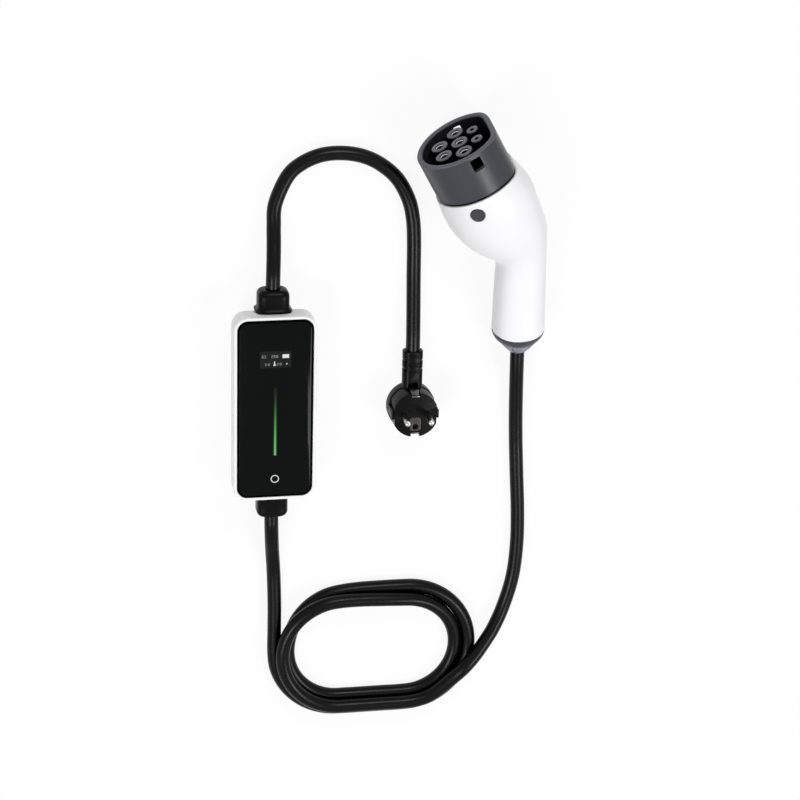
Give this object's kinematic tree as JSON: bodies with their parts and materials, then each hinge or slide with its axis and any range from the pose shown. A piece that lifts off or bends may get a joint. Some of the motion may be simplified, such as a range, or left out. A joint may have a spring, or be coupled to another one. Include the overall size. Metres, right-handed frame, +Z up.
{
  "type": "ev charging cable",
  "caption": "Portable charging cable laid flat: earthed mains plug, control box with a glass front, coiled lead and a bent pistol-grip vehicle connector with a D-shaped shroud.",
  "frame": {"origin": "centre of the control box's flat back, on the surface that everything lies on", "axes": "+Z up, out of the control box's glass front; +Y along the box towards its mains side; +X towards the vehicle connector"},
  "size_m": [0.2517, 0.5217, 0.0775],
  "materials": {
    "slate_plastic": "satin",
    "brass": "polished",
    "plated_metal": "polished",
    "cable_jacket": "satin",
    "component_black": "matt",
    "grey_tower": "satin",
    "black_plastic": "matt",
    "core_wire": "matt",
    "smoked_window": "gloss",
    "circuit_board": "matt",
    "white_housing": "satin",
    "black_glass": "gloss",
    "green_light": "satin",
    "black_rubber": "satin",
    "relay_blue": "satin"
  },
  "bodies": {
    "root": {"badge_plug": "slate_plastic", "board_standoff_1": "brass", "board_standoff_2": "brass", "board_standoff_3": "brass", "board_standoff_4": "brass", "cable_clamp": "plated_metal", "cable_end": "cable_jacket", "cable_nut": "slate_plastic", "capacitor_1": "component_black", "capacitor_2": "component_black", "connector_shroud": "slate_plastic", "contact_block": "grey_tower", "contact_carrier": "black_plastic", "core_wire_1": "core_wire", "core_wire_2": "core_wire", "core_wire_3": "core_wire", "core_wire_4": "core_wire", "core_wire_5": "core_wire", "display_module": "component_black", "display_window": "smoked_window", "earth_clip_far": "plated_metal", "earth_clip_near": "plated_metal", "earth_socket": "grey_tower", "end_cap": "slate_plastic", "front_board": "circuit_board", "front_housing": "white_housing", "glass_panel": "black_glass", "housing_screw_1": "plated_metal", "housing_screw_2": "plated_metal", "housing_screw_3": "plated_metal", "housing_screw_4": "plated_metal", "light_guide": "green_light", "lower_cable_boot": "black_rubber", "main_board": "circuit_board", "mains_lead": "cable_jacket", "plug_body": "black_rubber", "plug_pin_1": "plated_metal", "plug_pin_2": "plated_metal", "power_contact_1": "plated_metal", "power_contact_2": "plated_metal", "power_contact_3": "plated_metal", "power_contact_4": "plated_metal", "power_contact_5": "plated_metal", "power_supply": "component_black", "rear_housing": "white_housing", "relay_1": "relay_blue", "relay_2": "relay_blue", "residual_current_sensor": "component_black", "shell_left": "white_housing", "shell_right": "white_housing", "shroud_seal": "black_rubber", "signal_contact_1": "plated_metal", "signal_contact_2": "plated_metal", "terminal_block": "component_black", "touch_sensor": "brass", "upper_cable_boot": "black_rubber", "vehicle_lead_box_side": "cable_jacket", "vehicle_lead_coil": "cable_jacket", "vehicle_lead_connector_side": "cable_jacket"}
  },
  "joints": []
}
